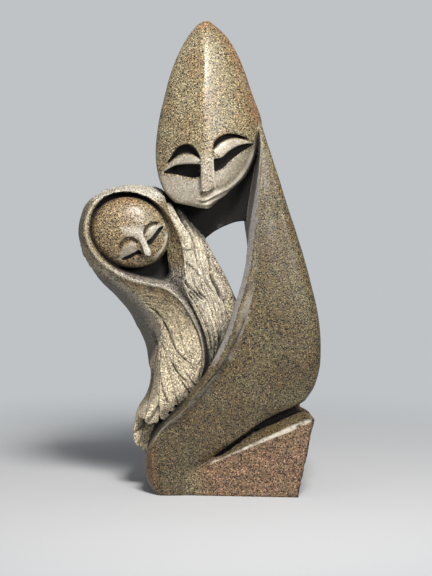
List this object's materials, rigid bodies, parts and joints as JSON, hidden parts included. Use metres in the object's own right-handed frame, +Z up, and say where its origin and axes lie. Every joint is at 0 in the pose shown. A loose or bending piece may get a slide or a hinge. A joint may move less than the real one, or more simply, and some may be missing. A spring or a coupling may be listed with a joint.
{
  "type": "carved stone couple sculpture",
  "caption": "Carved stone group of a tall figure with a pointed head leaning over a smaller hooded figure, one block with an opening between them and a wedge-shaped foot.",
  "frame": {"origin": "on the floor, under the middle of the bounding box", "axes": "+Z up, the two faces look along -Y, the smaller figure is on the -X side"},
  "size_m": [0.22, 0.11, 0.429],
  "materials": {
    "serpentine_stone": "speckled olive-brown serpentine, polished on the tall body and the faces, tooled and pale on the shawl, rough and reddish on the wedge of the foot"
  },
  "bodies": {
    "root": {"carved_couple": "serpentine_stone"}
  },
  "joints": []
}
